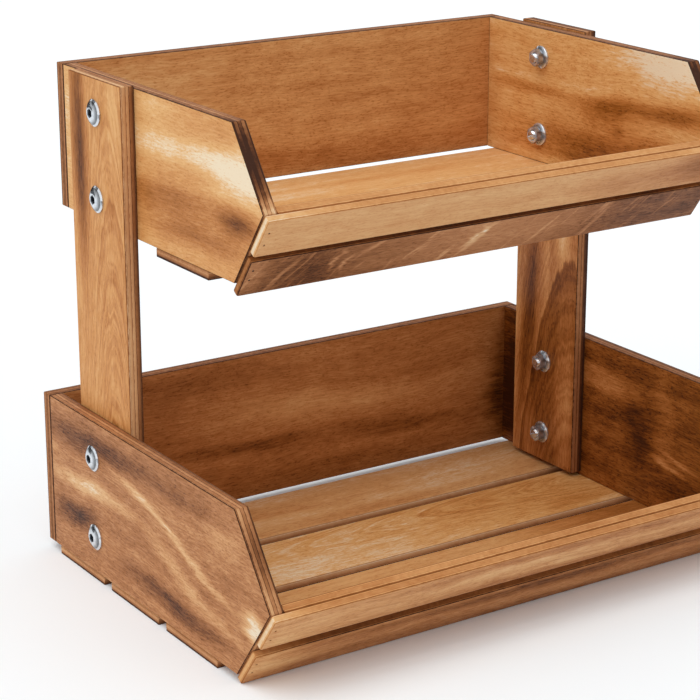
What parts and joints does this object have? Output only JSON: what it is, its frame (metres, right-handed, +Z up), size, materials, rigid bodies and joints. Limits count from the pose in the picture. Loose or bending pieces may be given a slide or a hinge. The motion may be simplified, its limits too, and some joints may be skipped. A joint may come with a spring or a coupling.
{
  "type": "two-tier fruit basket",
  "caption": "Free-standing two-tier basket of torched plywood: slatted trays with slanted fronts, the narrower one above, bolted to flat posts, for fruit and vegetables.",
  "frame": {"origin": "on the ground, in the middle of the basket's width and depth", "axes": "+X across to the right as seen from the front, +Y from the front to the back, +Z up"},
  "size_m": [0.3664, 0.2732, 0.309],
  "materials": {
    "plywood_panel": "torched and brushed plywood under a thin satin varnish",
    "plywood_thin": "torched thin plywood under a thin satin varnish",
    "bolt_plating": "bright zinc plating",
    "nut_plating": "bright zinc plating",
    "brad_wire": "bare steel wire, dulled"
  },
  "bodies": {
    "root": {"upper_left_side": "plywood_panel", "upper_right_side": "plywood_panel", "upper_back": "plywood_panel", "upper_floor_slat_rear": "plywood_thin", "upper_floor_slat_front": "plywood_thin", "upper_front_slat_top": "plywood_thin", "upper_front_slat_bottom": "plywood_thin", "upper_front_rail": "plywood_thin", "upper_floor_brads": "brad_wire", "upper_back_brads": "brad_wire", "upper_front_brads": "brad_wire", "upper_bolts": "bolt_plating", "upper_nuts": "nut_plating", "lower_left_side": "plywood_panel", "lower_right_side": "plywood_panel", "lower_back": "plywood_panel", "lower_floor_slat_rear": "plywood_thin", "lower_floor_slat_middle": "plywood_thin", "lower_floor_slat_front": "plywood_thin", "lower_front_slat_top": "plywood_thin", "lower_front_slat_bottom": "plywood_thin", "lower_front_rail": "plywood_thin", "lower_floor_brads": "brad_wire", "lower_back_brads": "brad_wire", "lower_front_brads": "brad_wire", "lower_bolts": "bolt_plating", "lower_nuts": "nut_plating", "left_post": "plywood_panel", "right_post": "plywood_panel"}
  },
  "joints": []
}
